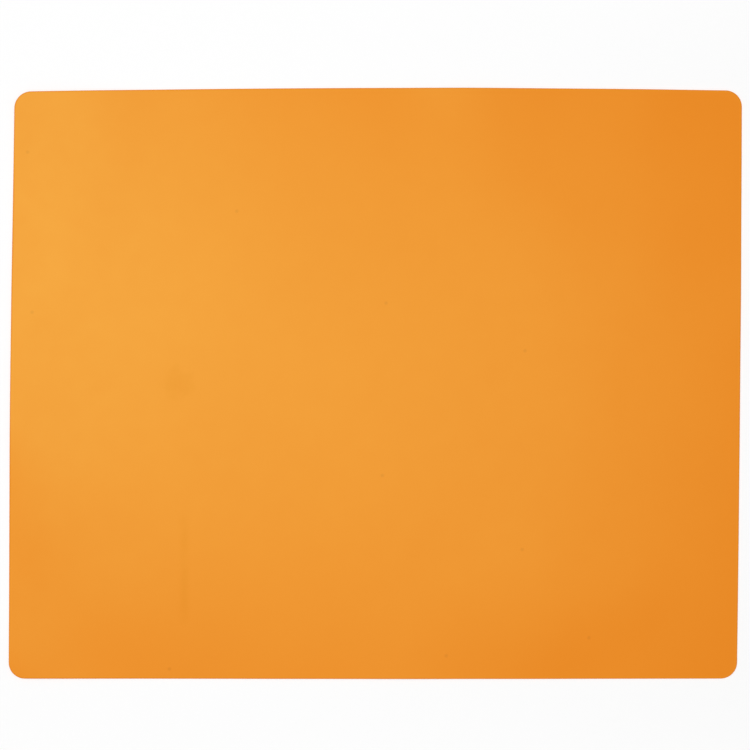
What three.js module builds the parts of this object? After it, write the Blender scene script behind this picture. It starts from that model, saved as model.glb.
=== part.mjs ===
// Silicone pastry mat, lying flat.
// A woven glass cloth has a silicone coat bonded to each face. The three layers are cut out together, and a
// bead of silicone with a round nose seals their cut edge all round.
// Millimetres, +Z up, X along the long side. The origin is the middle of the underside.

import * as THREE from 'three';

// Outline of the finished mat, over the bead.
const LENGTH = 495;
const WIDTH = 400;
const CORNER_RADIUS = 11;

// Layers, from the table up.
const BASE_COAT_THICKNESS = 0.4;
const CLOTH_THICKNESS = 0.2;
const FACE_COAT_THICKNESS = 0.4;

// Bead: its width from the cut edge of the layers to the outline, and how deep its round nose is.
const BEAD_WIDTH = 1.5;
const BEAD_NOSE_DEPTH = 0.5;

// Facets of the round forms: steps in each corner, and steps over the nose.
const CORNER_STEPS = 12;
const NOSE_STEPS = 8;

const CLOTH_BOTTOM = BASE_COAT_THICKNESS;
const FACE_COAT_BOTTOM = CLOTH_BOTTOM + CLOTH_THICKNESS;
const MAT_THICKNESS = FACE_COAT_BOTTOM + FACE_COAT_THICKNESS;

const faceSilicone = new THREE.MeshStandardMaterial({ color: '#f19e38', roughness: 0.5, metalness: 0 });
const baseSilicone = new THREE.MeshStandardMaterial({ color: '#e8912f', roughness: 0.8, metalness: 0 });
const beadSilicone = new THREE.MeshStandardMaterial({ color: '#ea9433', roughness: 0.6, metalness: 0 });
const glassFibre = new THREE.MeshStandardMaterial({ color: '#e9e6dc', roughness: 0.85, metalness: 0 });

// A rectangle with round corners, drawn in from the mat's outline by an inset. Every inset shares the corner
// centres, so that the outlines run parallel and their points pair up.
function outline(inset) {
  const centreX = LENGTH / 2 - CORNER_RADIUS;
  const centreY = WIDTH / 2 - CORNER_RADIUS;
  const radius = CORNER_RADIUS - inset;
  const corners = [[1, 1], [-1, 1], [-1, -1], [1, -1]];
  return corners.flatMap(([sideX, sideY], corner) => {
    const points = [];
    for (let step = 0; step <= CORNER_STEPS; step += 1) {
      const angle = (corner + step / CORNER_STEPS) * (Math.PI / 2);
      points.push(new THREE.Vector2(
        sideX * centreX + radius * Math.cos(angle),
        sideY * centreY + radius * Math.sin(angle),
      ));
    }
    return points;
  });
}

// One layer of the sheet, cut square inside the bead.
function layer(name, bottom, thickness, material) {
  const geometry = new THREE.ExtrudeGeometry(new THREE.Shape(outline(BEAD_WIDTH)), {
    depth: thickness,
    bevelEnabled: false,
  });
  geometry.translate(0, 0, bottom);
  const mesh = new THREE.Mesh(geometry, material);
  mesh.name = name;
  return mesh;
}

// The bead's section as pairs of inset and height: along the underside, round the nose, back along the face,
// and down the wall that the layers are bonded to.
function beadSection() {
  const section = [[BEAD_WIDTH, 0]];
  for (let step = 0; step <= NOSE_STEPS; step += 1) {
    const angle = (step / NOSE_STEPS - 0.5) * Math.PI;
    section.push([
      BEAD_NOSE_DEPTH * (1 - Math.cos(angle)),
      (MAT_THICKNESS / 2) * (1 + Math.sin(angle)),
    ]);
  }
  section.push([BEAD_WIDTH, MAT_THICKNESS]);
  return section;
}

// The bead: its section swept round the outline as a closed ring.
function bead(name, material) {
  const rings = beadSection().map(([inset, height]) => (
    outline(inset).map((point) => [point.x, point.y, height])
  ));
  const around = rings[0].length;
  const index = [];
  rings.forEach((ring, row) => {
    const here = row * around;
    const next = ((row + 1) % rings.length) * around;
    for (let station = 0; station < around; station += 1) {
      const ahead = (station + 1) % around;
      index.push(here + station, here + ahead, next + ahead);
      index.push(here + station, next + ahead, next + station);
    }
  });
  const geometry = new THREE.BufferGeometry();
  geometry.setAttribute('position', new THREE.Float32BufferAttribute(rings.flat(2), 3));
  geometry.setIndex(index);
  geometry.computeVertexNormals();
  const mesh = new THREE.Mesh(geometry, material);
  mesh.name = name;
  return mesh;
}

const mat = new THREE.Group();
mat.name = 'pastry_mat';
mat.add(
  layer('base_coat', 0, BASE_COAT_THICKNESS, baseSilicone),
  layer('glass_cloth', CLOTH_BOTTOM, CLOTH_THICKNESS, glassFibre),
  layer('face_coat', FACE_COAT_BOTTOM, FACE_COAT_THICKNESS, faceSilicone),
  bead('edge_seal', beadSilicone),
);

export default mat;
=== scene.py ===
import math

import bpy
from mathutils import Matrix, Vector


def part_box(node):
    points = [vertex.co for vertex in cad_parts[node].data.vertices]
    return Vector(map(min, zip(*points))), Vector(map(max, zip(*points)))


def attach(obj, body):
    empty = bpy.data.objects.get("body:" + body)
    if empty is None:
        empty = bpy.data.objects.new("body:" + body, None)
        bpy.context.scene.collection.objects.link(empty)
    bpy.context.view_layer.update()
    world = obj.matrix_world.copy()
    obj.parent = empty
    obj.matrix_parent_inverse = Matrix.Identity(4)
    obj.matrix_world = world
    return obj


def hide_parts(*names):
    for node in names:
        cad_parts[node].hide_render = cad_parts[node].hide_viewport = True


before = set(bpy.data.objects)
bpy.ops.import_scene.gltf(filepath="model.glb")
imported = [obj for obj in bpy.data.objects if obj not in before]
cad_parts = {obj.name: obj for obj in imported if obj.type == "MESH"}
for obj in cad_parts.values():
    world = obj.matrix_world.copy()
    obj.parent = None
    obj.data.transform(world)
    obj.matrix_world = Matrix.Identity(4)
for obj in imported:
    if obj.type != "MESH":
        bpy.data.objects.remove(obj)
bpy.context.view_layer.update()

# Glass cloth
# The core of the mat is a thin plain-woven cloth of glass yarn, which keeps the soft sheet from stretching.
# It is coated with silicone on both faces, and then cut to the outline together with its coats.
cloth_low, cloth_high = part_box("glass_cloth")
bead_low, bead_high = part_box("edge_seal")
HALF_LENGTH = bead_high[0]
HALF_WIDTH = bead_high[1]
BEAD_WIDTH = HALF_LENGTH - cloth_high[0]
CORNER_RADIUS = 0.011
CUT_LENGTH = 2 * cloth_high[0]
CUT_WIDTH = 2 * cloth_high[1]
CUT_CORNER_RADIUS = CORNER_RADIUS - BEAD_WIDTH
CELL = 0.005
CORNER_CELLS = 8
WELD_DISTANCE = 1e-6
CRISP_ANGLE = math.radians(40)

# The limp sheet doesn't lie quite true. Its outline leans, tapers and bows, and low waves lift its edges.
SIDE_LEAN = 0.0019
END_LEAN = 0.0002
SIDE_TAPER = 0.0002
END_TAPER = 0.00027
BOW_OUT_LONG = 0.0008
BOW_OUT_WIDE = 0.0013
BOW_LEFT = 0.00025
BOW_AWAY = 0.0010
BOW_AT_MIDDLE = 2 / 3
WAVE_HEIGHT = 0.0005
EDGE_WAVE_HEIGHT = 0.0018
EDGE_POWER = 4.0
WAVES_PER_METRE = 6.0
WAVE_DETAIL = 1.0
WAVE_SPAN = (0.4, 0.85)
WAVE_SEED = 12.0

GLASS_IOR = 1.55
YARN_PITCH = 0.002
YARN_RELIEF = 0.00008
YARN_SPAN = (0.1, 0.7)
YARN_COLOR = (0.80, 0.78, 0.70, 1.0)
GAP_COLOR = (0.52, 0.44, 0.30, 1.0)
CLOTH_CLOUD_SIZE = 0.02
CLOUD_DETAIL = 2.0
CLOUD_SPAN = (0.3, 0.7)
CLOTH_SHADE = (0.85, 1.0)
CLOTH_ROUGHNESS = (0.8, 0.6)


class Wire:
    """An output socket in a node tree. Arithmetic on wires adds Math nodes to the tree."""

    def __init__(self, tree, socket=None):
        self.tree = tree
        self.socket = socket

    def node(self, kind, settings=None, inputs=None, output=0):
        """Add a node: its settings first, then the values or wires of its input sockets."""
        made = self.tree.nodes.new(kind)
        for name, value in (settings or {}).items():
            setattr(made, name, value)
        for place, value in (inputs or {}).items():
            for end in value if isinstance(value, list) else [value]:
                if isinstance(end, Wire):
                    self.tree.links.new(end.socket, made.inputs[place])
                else:
                    made.inputs[place].default_value = end
        return Wire(self.tree, made.outputs[output])

    def math(self, operation, *others):
        return self.node("ShaderNodeMath", {"operation": operation}, dict(enumerate((self, *others))))

    def parts(self):
        """The x, y and z of a vector."""
        return [self.node("ShaderNodeSeparateXYZ", {}, {"Vector": self}, axis) for axis in "XYZ"]

    def ramp(self, low, high, to_low=0.0, to_high=1.0, shape="SMOOTHSTEP"):
        """A value carried from one range to another and held at its ends."""
        limits = {"From Min": low, "From Max": high, "To Min": to_low, "To Max": to_high}
        return self.node("ShaderNodeMapRange", {"interpolation_type": shape}, {"Value": self, **limits})

    def mix(self, first, second):
        """A colour between two, with this wire as the share of the second."""
        return self.node("ShaderNodeMix", {"data_type": "RGBA"}, {0: self, 6: first, 7: second}, 2)

    def __add__(self, other):
        return self.math("ADD", other)

    def __sub__(self, other):
        return self.math("SUBTRACT", other)

    def __rsub__(self, other):
        return self.node("ShaderNodeMath", {"operation": "SUBTRACT"}, {0: other, 1: self})

    def __mul__(self, other):
        return self.math("MULTIPLY", other)

    def __truediv__(self, other):
        return self.math("DIVIDE", other)

    __radd__ = __add__
    __rmul__ = __mul__


def cut_blank(size):
    """A flat sheet cut with round corners. Its cells are small in the corners and even between them."""
    start = size["Length"]
    # The grid runs from -1 to 1 each way. Its outer cells go to the corners, and the others between them.
    counts = {"Vertices X": size["Columns"], "Vertices Y": size["Rows"]}
    grid = start.node("GeometryNodeMeshGrid", {}, {"Size X": 2.0, "Size Y": 2.0, **counts})
    straight, round_part, side = [], [], []
    shares = start.node("GeometryNodeInputPosition").parts()
    for share, span, count in zip(shares, ("Length", "Width"), ("Columns", "Rows")):
        corner_start = 1 - 2 * size["Corner Cells"] / (size[count] - 1)
        away = share.math("ABSOLUTE")
        straight.append(away.ramp(0.0, corner_start, 0.0, size[span] / 2 - size["Corner Radius"], "LINEAR"))
        round_part.append(away.ramp(corner_start, 1.0, 0.0, size["Corner Radius"], "LINEAR"))
        side.append(share.math("SIGN"))
    reach = (round_part[0] * round_part[0] + round_part[1] * round_part[1]).math("SQRT")
    pull = round_part[0].math("MAXIMUM", round_part[1]) / reach.math("MAXIMUM", WELD_DISTANCE)
    x, y = (side[k] * (straight[k] + round_part[k] * pull) for k in (0, 1))
    place = start.node("ShaderNodeCombineXYZ", {}, {"X": x, "Y": y})
    return start.node("GeometryNodeSetPosition", {}, {"Geometry": grid, "Position": place})


def laid_down(flat):
    """The flat geometry as it lies: a little out of square, its sides bowed, and lifted here and there."""
    x, y, z = flat.node("GeometryNodeInputPosition").parts()
    along = x / HALF_LENGTH
    across = y / HALF_WIDTH
    skew = along * across
    bow_along = BOW_AT_MIDDLE - along * along
    bow_across = BOW_AT_MIDDLE - across * across
    laid_x = x + SIDE_LEAN * across - SIDE_TAPER * skew + bow_across * (BOW_OUT_LONG * along - BOW_LEFT)
    laid_y = y + END_LEAN * along + END_TAPER * skew + bow_along * (BOW_OUT_WIDE * across + BOW_AWAY)
    under = flat.node("ShaderNodeCombineXYZ", {}, {"X": x, "Y": y})
    waves = {"Vector": under, "W": WAVE_SEED, "Scale": WAVES_PER_METRE, "Detail": WAVE_DETAIL}
    wave = flat.node("ShaderNodeTexNoise", {"noise_dimensions": "4D"}, waves).ramp(*WAVE_SPAN)
    to_edge = along.math("POWER", EDGE_POWER) + across.math("POWER", EDGE_POWER)
    lift = wave * (WAVE_HEIGHT + EDGE_WAVE_HEIGHT * to_edge)
    place = flat.node("ShaderNodeCombineXYZ", {}, {"X": laid_x, "Y": laid_y, "Z": z + lift})
    return flat.node("GeometryNodeSetPosition", {}, {"Geometry": flat, "Position": place})


def finished(shape, material):
    """Smooth faces with crisp edges, realized, and with their material."""
    smooth = shape.node("GeometryNodeSetShadeSmooth", {"domain": "FACE"}, {"Geometry": shape})
    crisp = shape.node("GeometryNodeInputMeshEdgeAngle").math("GREATER_THAN", CRISP_ANGLE)
    creased = {"Geometry": smooth, "Selection": crisp, "Shade Smooth": False}
    edged = shape.node("GeometryNodeSetShadeSmooth", {"domain": "EDGE"}, creased)
    real = shape.node("GeometryNodeRealizeInstances", {}, {"Geometry": edged})
    return shape.node("GeometryNodeSetMaterial", {}, {"Geometry": real, "Material": material})


def shape_tree(name, sizes, counts, build):
    """A Geometry Nodes tree with named inputs, whose nodes are added by build."""
    tree = bpy.data.node_groups.new(name, "GeometryNodeTree")
    for kind, names in (("Float", sizes), ("Int", counts), ("Material", ["Material"])):
        for size in names:
            tree.interface.new_socket(size, in_out="INPUT", socket_type="NodeSocket" + kind)
    tree.interface.new_socket("Mesh", in_out="OUTPUT", socket_type="NodeSocketGeometry")
    entry = tree.nodes.new("NodeGroupInput")
    made = build({socket.name: Wire(tree, socket) for socket in entry.outputs if socket.name})
    tree.links.new(made.socket, tree.nodes.new("NodeGroupOutput").inputs["Mesh"])
    return tree


def made_by(tree, name, sizes):
    """A piece made by a tree, as a plain mesh."""
    piece = bpy.data.objects.new(name, bpy.data.meshes.new(name))
    bpy.context.scene.collection.objects.link(piece)
    modifier = piece.modifiers.new("shape", "NODES")
    modifier.node_group = tree
    for socket in tree.interface.items_tree:
        if socket.in_out == "INPUT":
            modifier[socket.identifier] = sizes[socket.name]
    shaped = piece.evaluated_get(bpy.context.evaluated_depsgraph_get())
    mesh = bpy.data.meshes.new_from_object(shaped)
    piece.modifiers.remove(modifier)
    piece.data = mesh
    mesh.name = name
    return piece


def layer_shape(size):
    """One layer: the blank, its copy a thickness above, and the cut edge between them."""
    flat = cut_blank(size)
    raised = flat.node("ShaderNodeCombineXYZ", {}, {"Z": size["Bottom"]})
    lower = flat.node("GeometryNodeSetPosition", {}, {"Geometry": flat, "Offset": raised})
    up = {"Mesh": lower, "Offset": (0.0, 0.0, 1.0), "Offset Scale": size["Thickness"], "Individual": False}
    upper = flat.node("GeometryNodeExtrudeMesh", {"mode": "FACES"}, up)
    underside = flat.node("GeometryNodeFlipFaces", {}, {"Mesh": lower})
    joined = flat.node("GeometryNodeJoinGeometry", {}, {"Geometry": [upper, underside]})
    closed = flat.node("GeometryNodeMergeByDistance", {}, {"Geometry": joined, "Distance": WELD_DISTANCE})
    return finished(laid_down(closed), size["Material"])


layer_tree = shape_tree(
    "layer_shape",
    ["Length", "Width", "Corner Radius", "Bottom", "Thickness"],
    ["Columns", "Rows", "Corner Cells"],
    layer_shape,
)
blank_sizes = {
    "Length": CUT_LENGTH,
    "Width": CUT_WIDTH,
    "Corner Radius": CUT_CORNER_RADIUS,
    "Columns": round((CUT_LENGTH - 2 * CUT_CORNER_RADIUS) / CELL) + 2 * CORNER_CELLS + 1,
    "Rows": round((CUT_WIDTH - 2 * CUT_CORNER_RADIUS) / CELL) + 2 * CORNER_CELLS + 1,
    "Corner Cells": CORNER_CELLS,
}


def cut_layer(name, bottom, top, finish):
    """A layer of the sheet between two heights, cut to the outline of the blank."""
    heights = {"Bottom": bottom, "Thickness": top - bottom}
    return made_by(layer_tree, name, {**blank_sizes, **heights, "Material": finish})


def new_finish(name, constant):
    """A new material, its shader with the constant values set, and places on the piece in metres."""
    material = bpy.data.materials.new(name)
    material.use_nodes = True
    shader = material.node_tree.nodes["Principled BSDF"]
    for socket, value in constant.items():
        shader.inputs[socket].default_value = value
    return material, shader, Wire(material.node_tree).node("ShaderNodeTexCoord", output="Object")


def dress(shader, color, roughness, height):
    """Give a shader its colour and roughness over the surface, and its relief from heights in metres."""
    relief = height.node("ShaderNodeBump", {}, {"Distance": 1.0, "Height": height})
    for socket, wire in (("Base Color", color), ("Roughness", roughness), ("Normal", relief)):
        wire.tree.links.new(wire.socket, shader.inputs[socket])


def cloudy(spot, size, seed):
    """Soft clouds of about a size in metres, from 0 to 1 with 0.5 as their middle."""
    clouds = {"Vector": spot, "W": seed, "Scale": 1 / size, "Detail": CLOUD_DETAIL}
    return spot.node("ShaderNodeTexNoise", {"noise_dimensions": "4D"}, clouds)


def woven(spot):
    """A plain weave, from 0 in the gaps to 1 on top of the yarns."""
    x, y, _ = spot.parts()
    warp = (x * (math.pi / YARN_PITCH)).math("SINE")
    weft = (y * (math.pi / YARN_PITCH)).math("SINE")
    over = 0.5 + 0.5 * (warp * weft)
    return (warp * warp * over).math("MAXIMUM", weft * weft * (1 - over))


cloth_finish, cloth_shader, cloth_spot = new_finish("woven_glass", {"IOR": GLASS_IOR})
cloth_weave = woven(cloth_spot)
cloth_shade = cloudy(cloth_spot, CLOTH_CLOUD_SIZE, seed=1.0).ramp(*CLOUD_SPAN, *CLOTH_SHADE)
dress(
    cloth_shader,
    color=(cloth_weave.ramp(*YARN_SPAN) * cloth_shade).mix(GAP_COLOR, YARN_COLOR),
    roughness=cloth_weave.ramp(0.0, 1.0, *CLOTH_ROUGHNESS),
    height=YARN_RELIEF * cloth_weave,
)
glass_cloth = cut_layer("glass_cloth_layer", cloth_low[2], cloth_high[2], cloth_finish)
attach(glass_cloth, "root")
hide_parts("glass_cloth")

# Base coat
# The lower coat of silicone lies on the table and clings to it. It is spread thinly on the cloth and cured
# matt, so the weave shows through it as a fine relief.
base_low, base_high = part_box("base_coat")
SILICONE_IOR = 1.41
BASE_ORANGE = (0.80, 0.225, 0.011, 1.0)
BASE_ORANGE_DEEP = (0.72, 0.19, 0.008, 1.0)
BASE_ROUGHNESS = (0.7, 0.8)
BASE_CLOUD_SIZE = 0.06
BASE_WEAVE_SHARE = 0.3
BASE_WEAVE_RELIEF = 0.00003
BASE_GRAIN_SIZE = 0.0003
BASE_GRAIN_RELIEF = 0.000004

base_finish, base_shader, base_spot = new_finish("matt_silicone", {"IOR": SILICONE_IOR})
base_weave = woven(base_spot)
base_clouds = cloudy(base_spot, BASE_CLOUD_SIZE, seed=2.0)
base_grain = cloudy(base_spot, BASE_GRAIN_SIZE, seed=3.0)
base_depth = (1 - BASE_WEAVE_SHARE) * base_clouds + BASE_WEAVE_SHARE * (1 - base_weave)
dress(
    base_shader,
    color=base_depth.mix(BASE_ORANGE, BASE_ORANGE_DEEP),
    roughness=base_clouds.ramp(*CLOUD_SPAN, *BASE_ROUGHNESS),
    height=BASE_WEAVE_RELIEF * base_weave + BASE_GRAIN_RELIEF * base_grain,
)
base_coat = cut_layer("base_coat_layer", base_low[2], base_high[2], base_finish)
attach(base_coat, "root")
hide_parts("base_coat")

# Face coat
# The upper coat of silicone is the working face. It is cured against a polished sheet, which leaves a smooth
# satin skin with a yellowish sheen. Handling has left a thumb mark, a rubbed streak and a few specks on it.
face_low, face_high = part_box("face_coat")
FACE_ORANGE = (0.853, 0.231, 0.0105, 1.0)
FACE_ORANGE_DEEP = (0.825, 0.219, 0.0095, 1.0)
FACE_SHEEN = (0.52, 1.0, 0.26, 1.0)
FACE_ROUGHNESS = 0.339
FACE_CLOUD_SIZE = 0.09
MOTTLE_SIZE = 0.012
MOTTLE_SHARE = 0.3
ROUGHNESS_DRIFT = 0.03
PEEL_SIZE = 0.004
PEEL_RELIEF = 0.000009
GRAIN_SIZE = 0.0006
GRAIN_RELIEF = 0.000008

MARK_COLOR = (0.775, 0.200, 0.002, 1.0)
MARK_STRENGTH = 0.4
MARK_DULLNESS = 0.015
THUMB_MARK = (-0.134, 0.001)
THUMB_MARK_CORE = 0.0024
THUMB_MARK_RIM = 0.0144
THUMB_MARK_RAGGED = 0.0192
THUMB_MARK_CLOUD_SIZE = 0.008
STREAK_X = -0.130
STREAK_ENDS = (-0.166, -0.085)
STREAK_HALF_WIDTH = 0.005
STREAK_FADE = 0.008
STREAK_CLOUD_SIZE = 0.012
STREAK_CLOUD_SPAN = (0.3, 0.6)
STREAK_FAINTEST = 0.4
SPECK_COLOR = (0.50, 0.085, 0.002, 1.0)
SPECK_STRENGTH = 0.2
SPECK_SPACING = 0.048
SPECK_SHARE = 0.16
SPECK_CORE = 0.0005
SPECK_RADIUS = 0.0018


def thumb_mark(spot):
    """A greasy round mark with a ragged edge."""
    x, y, _ = spot.parts()
    away_x = x - THUMB_MARK[0]
    away_y = y - THUMB_MARK[1]
    away = (away_x * away_x + away_y * away_y).math("SQRT")
    ragged = away + THUMB_MARK_RAGGED * (cloudy(spot, THUMB_MARK_CLOUD_SIZE, seed=4.0) - 0.5)
    return ragged.ramp(THUMB_MARK_CORE, THUMB_MARK_RIM, 1.0, 0.0)


def rubbed_streak(spot):
    """A narrow streak along the short side of the mat, fainter here and there."""
    x, y, _ = spot.parts()
    middle = (STREAK_ENDS[0] + STREAK_ENDS[1]) / 2
    half_length = (STREAK_ENDS[1] - STREAK_ENDS[0]) / 2
    beside = (x - STREAK_X).math("ABSOLUTE").ramp(0.0, STREAK_HALF_WIDTH, 1.0, 0.0)
    along = (y - middle).math("ABSOLUTE").ramp(half_length - STREAK_FADE, half_length, 1.0, 0.0)
    clouds = cloudy(spot, STREAK_CLOUD_SIZE, seed=5.0)
    return beside * along * clouds.ramp(*STREAK_CLOUD_SPAN, STREAK_FAINTEST, 1.0)


def specks(spot):
    """Small round specks, one in some of the cells of a loose net."""
    net = {"Vector": spot, "Scale": 1 / SPECK_SPACING}
    settings = {"voronoi_dimensions": "2D"}
    away = SPECK_SPACING * spot.node("ShaderNodeTexVoronoi", settings, net, "Distance")
    draw, _, _ = spot.node("ShaderNodeTexVoronoi", settings, net, "Color").parts()
    return away.ramp(SPECK_CORE, SPECK_RADIUS, 1.0, 0.0) * draw.math("LESS_THAN", SPECK_SHARE)


satin = {"IOR": SILICONE_IOR, "Specular Tint": FACE_SHEEN}
face_finish, face_shader, face_spot = new_finish("satin_silicone", satin)
face_clouds = cloudy(face_spot, FACE_CLOUD_SIZE, seed=6.0)
face_mottle = cloudy(face_spot, MOTTLE_SIZE, seed=7.0)
face_peel = cloudy(face_spot, PEEL_SIZE, seed=8.0)
face_grain = cloudy(face_spot, GRAIN_SIZE, seed=9.0)
handled = thumb_mark(face_spot).math("MAXIMUM", rubbed_streak(face_spot))
face_depth = (1 - MOTTLE_SHARE) * face_clouds + MOTTLE_SHARE * face_mottle
face_color = face_depth.mix(FACE_ORANGE, FACE_ORANGE_DEEP)
face_color = (MARK_STRENGTH * handled).mix(face_color, MARK_COLOR)
face_color = (SPECK_STRENGTH * specks(face_spot)).mix(face_color, SPECK_COLOR)
dress(
    face_shader,
    color=face_color,
    roughness=FACE_ROUGHNESS + ROUGHNESS_DRIFT * (face_clouds + face_mottle - 1) + MARK_DULLNESS * handled,
    height=PEEL_RELIEF * face_peel + GRAIN_RELIEF * face_grain,
)
face_coat = cut_layer("face_coat_layer", face_low[2], face_high[2], face_finish)
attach(face_coat, "root")
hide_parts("face_coat")

# Edge bead
# A bead of silicone is laid round the cut edge of the three layers and wiped to a round nose, so that no
# glass yarn is left bare. It bonds to the layers, level with both faces, and cures to much the same orange
# as the face. Its colour is painted a little lighter and yellower than the face's: painted light that makes
# up for the shade and the lost sheen on its round nose.
BEAD_HEIGHT = bead_high[2] - bead_low[2]
NOSE_DEPTH = BEAD_HEIGHT / 2
NOSE_STEPS = 10
# Both bead oranges hold painted light: a little lighter and yellower than the face's, for the shaded nose.
BEAD_ORANGE = (0.856, 0.252, 0.014, 1.0)
BEAD_ORANGE_DEEP = (0.815, 0.236, 0.012, 1.0)
BEAD_ROUGHNESS = 0.36
BEAD_ROUGHNESS_DRIFT = 0.03
BEAD_CLOUD_SIZE = 0.02
BEAD_RIPPLE_SIZE = 0.006
BEAD_RIPPLE = 0.00002


def bead_shape(size):
    """The bead: its section swept along the cut edge of the layers."""
    flat = cut_blank(size)
    # An edge on the rim of the blank has one face beside it, and any other has two.
    rim = flat.node("GeometryNodeInputMeshEdgeNeighbors").math("LESS_THAN", 2.0)
    path = flat.node("GeometryNodeMeshToCurve", {}, {"Mesh": flat, "Selection": rim})
    path = flat.node("GeometryNodeSetCurveNormal", {"mode": "Z_UP"}, {"Curve": path})
    # The section's first and last points lie on the cut edge of the layers, and the others round the nose.
    last = size["Nose Steps"] + 2
    index = flat.node("GeometryNodeInputIndex")
    turn = math.pi * (((index - 1) / size["Nose Steps"]).ramp(0.0, 1.0, shape="LINEAR") - 0.5)
    bonded = index.math("LESS_THAN", 1.0) + index.math("GREATER_THAN", last - 1)
    out = (1 - bonded) * (size["Bead Width"] - size["Nose Depth"] * (1 - turn.math("COSINE")))
    up = size["Thickness"] / 2 * (1 + turn.math("SINE"))
    spot = flat.node("ShaderNodeCombineXYZ", {}, {"X": -1 * out, "Y": -1 * up})
    points = flat.node("GeometryNodePoints", {}, {"Count": last + 1, "Position": spot})
    section = flat.node("GeometryNodePointsToCurves", {}, {"Points": points})
    section = flat.node("GeometryNodeSetSplineCyclic", {}, {"Geometry": section, "Cyclic": True})
    swept = flat.node("GeometryNodeCurveToMesh", {}, {"Curve": path, "Profile Curve": section})
    return finished(laid_down(swept), size["Material"])


bead_tree = shape_tree(
    "bead_shape",
    ["Length", "Width", "Corner Radius", "Bead Width", "Nose Depth", "Thickness"],
    ["Columns", "Rows", "Corner Cells", "Nose Steps"],
    bead_shape,
)
bead_finish, bead_shader, bead_spot = new_finish("bead_silicone", satin)
bead_clouds = cloudy(bead_spot, BEAD_CLOUD_SIZE, seed=10.0)
dress(
    bead_shader,
    color=bead_clouds.mix(BEAD_ORANGE, BEAD_ORANGE_DEEP),
    roughness=BEAD_ROUGHNESS + BEAD_ROUGHNESS_DRIFT * (bead_clouds - 0.5),
    height=BEAD_RIPPLE * cloudy(bead_spot, BEAD_RIPPLE_SIZE, seed=11.0),
)
edge_bead = made_by(bead_tree, "edge_bead", {
    **blank_sizes,
    "Bead Width": BEAD_WIDTH,
    "Nose Depth": NOSE_DEPTH,
    "Nose Steps": NOSE_STEPS,
    "Thickness": BEAD_HEIGHT,
    "Material": bead_finish,
})
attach(edge_bead, "root")
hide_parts("edge_seal")

# Table
# A plain white table top that runs on to white walls far away. To the camera and in reflections it glows
# white, less and less towards the mat, so that the mat's shadow stays. The glow lights nothing.
TABLE_HALF = 20.0
TABLE_TOP = -0.0001
WALL_HEIGHT = 5.0
TABLE_WHITE = (0.985, 0.985, 0.985, 1.0)
TABLE_ROUGHNESS = 0.9
GLOW_WHITE = (1.0, 1.0, 1.0, 1.0)
GLOW_AT_MAT = 0.25
GLOW_RUN = 0.15

matt_white = {"Base Color": TABLE_WHITE, "Roughness": TABLE_ROUGHNESS}
table_finish, table_shader, table_spot = new_finish("table_white", matt_white)
table_finish.cycles.emission_sampling = "NONE"
camera_ray = table_spot.node("ShaderNodeLightPath", output="Is Camera Ray")
gloss_ray = table_spot.node("ShaderNodeLightPath", output="Is Glossy Ray")
clear_ray = table_spot.node("ShaderNodeLightPath", output="Is Transmission Ray")
seen = (camera_ray + gloss_ray + clear_ray).math("MINIMUM", 1.0)
table_x, table_y, _ = table_spot.parts()
beyond_ends = table_x.math("ABSOLUTE") - HALF_LENGTH
beyond_sides = table_y.math("ABSOLUTE") - HALF_WIDTH
glow_share = seen * beyond_ends.math("MAXIMUM", beyond_sides).ramp(0.0, GLOW_RUN, GLOW_AT_MAT, 1.0)
lit = Wire(table_finish.node_tree, table_shader.outputs["BSDF"])
glow = lit.node("ShaderNodeEmission", {}, {"Color": GLOW_WHITE, "Strength": 1.0})
surface = lit.node("ShaderNodeMixShader", {}, {0: glow_share, 1: lit, 2: glow})
lit.tree.links.new(surface.socket, lit.tree.nodes["Material Output"].inputs["Surface"])

table = bpy.data.objects.new("table", bpy.data.meshes.new("table"))
bpy.context.scene.collection.objects.link(table)
corner_signs = ((-1, -1), (1, -1), (1, 1), (-1, 1))
corners = [(sign_x * TABLE_HALF, sign_y * TABLE_HALF) for sign_x, sign_y in corner_signs]
points = [(x, y, height) for height in (TABLE_TOP, WALL_HEIGHT) for x, y in corners]
count = len(corners)
walls = [(k, k + count, (k + 1) % count + count, (k + 1) % count) for k in range(count)]
table.data.from_pydata(points, [], [(0, 1, 2, 3), *walls])
table.data.materials.append(table_finish)

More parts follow.
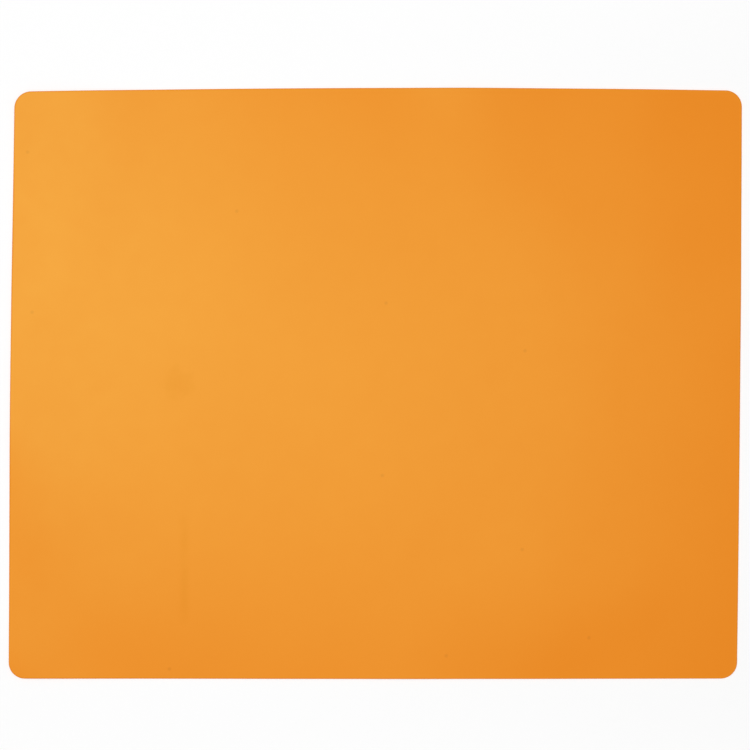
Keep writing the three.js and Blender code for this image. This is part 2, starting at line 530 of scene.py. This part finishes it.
# Light
# The room gives an even white light. A strip softbox high on the left puts a soft glow on that half of the
# face, and a weaker square softbox hangs straight above the mat.
ROOM_WHITE = (1.0, 1.0, 1.0, 1.0)
ROOM_LIGHT = 0.3
STRIP_SOFTBOX = {
    "place": (-0.818, 0.327, 3.0),
    "aim": (-0.164, 0.065, 0.0),
    "width": 0.30,
    "length": 1.57,
    "watts": 38.5,
}
SQUARE_SOFTBOX = {
    "place": (0.104, 0.009, 2.0),
    "aim": (0.010, 0.001, 0.0),
    "width": 0.90,
    "length": 0.90,
    "watts": 14.4,
}


def softbox(name, place, aim, width, length, watts):
    """A softbox at a place, turned to its aim, with its length along the short side of the mat."""
    light = bpy.data.lights.new(name, "AREA")
    light.shape = "RECTANGLE"
    light.size = width
    light.size_y = length
    light.energy = watts
    back = (Vector(place) - Vector(aim)).normalized()
    right = Vector((0.0, 1.0, 0.0)).cross(back).normalized()
    lamp = bpy.data.objects.new(name, light)
    lamp.location = place
    lamp.rotation_euler = Matrix((right, back.cross(right), back)).transposed().to_euler()
    lamp.visible_camera = False
    bpy.context.scene.collection.objects.link(lamp)


room = bpy.data.worlds.new("room")
room.use_nodes = True
background = room.node_tree.nodes["Background"]
background.inputs["Color"].default_value = ROOM_WHITE
background.inputs["Strength"].default_value = ROOM_LIGHT
bpy.context.scene.world = room
softbox("strip_softbox", **STRIP_SOFTBOX)
softbox("square_softbox", **SQUARE_SOFTBOX)

# Camera
# The camera hangs straight above the mat and looks down at it. Its view is a little wider than the mat, and
# is centred a little beyond the mat's middle.
LENS = 85
SENSOR = 36
VIEW_WIDTH = 0.5097
VIEW_CENTRE = (-0.0004, 0.0064)

camera_data = bpy.data.cameras.new("photo_camera")
camera_data.lens = LENS
camera_data.sensor_width = SENSOR
camera = bpy.data.objects.new("photo_camera", camera_data)
camera.location = (*VIEW_CENTRE, face_high[2] + VIEW_WIDTH * LENS / SENSOR)
bpy.context.scene.collection.objects.link(camera)
bpy.context.scene.camera = camera
bpy.context.scene.view_settings.view_transform = "Standard"
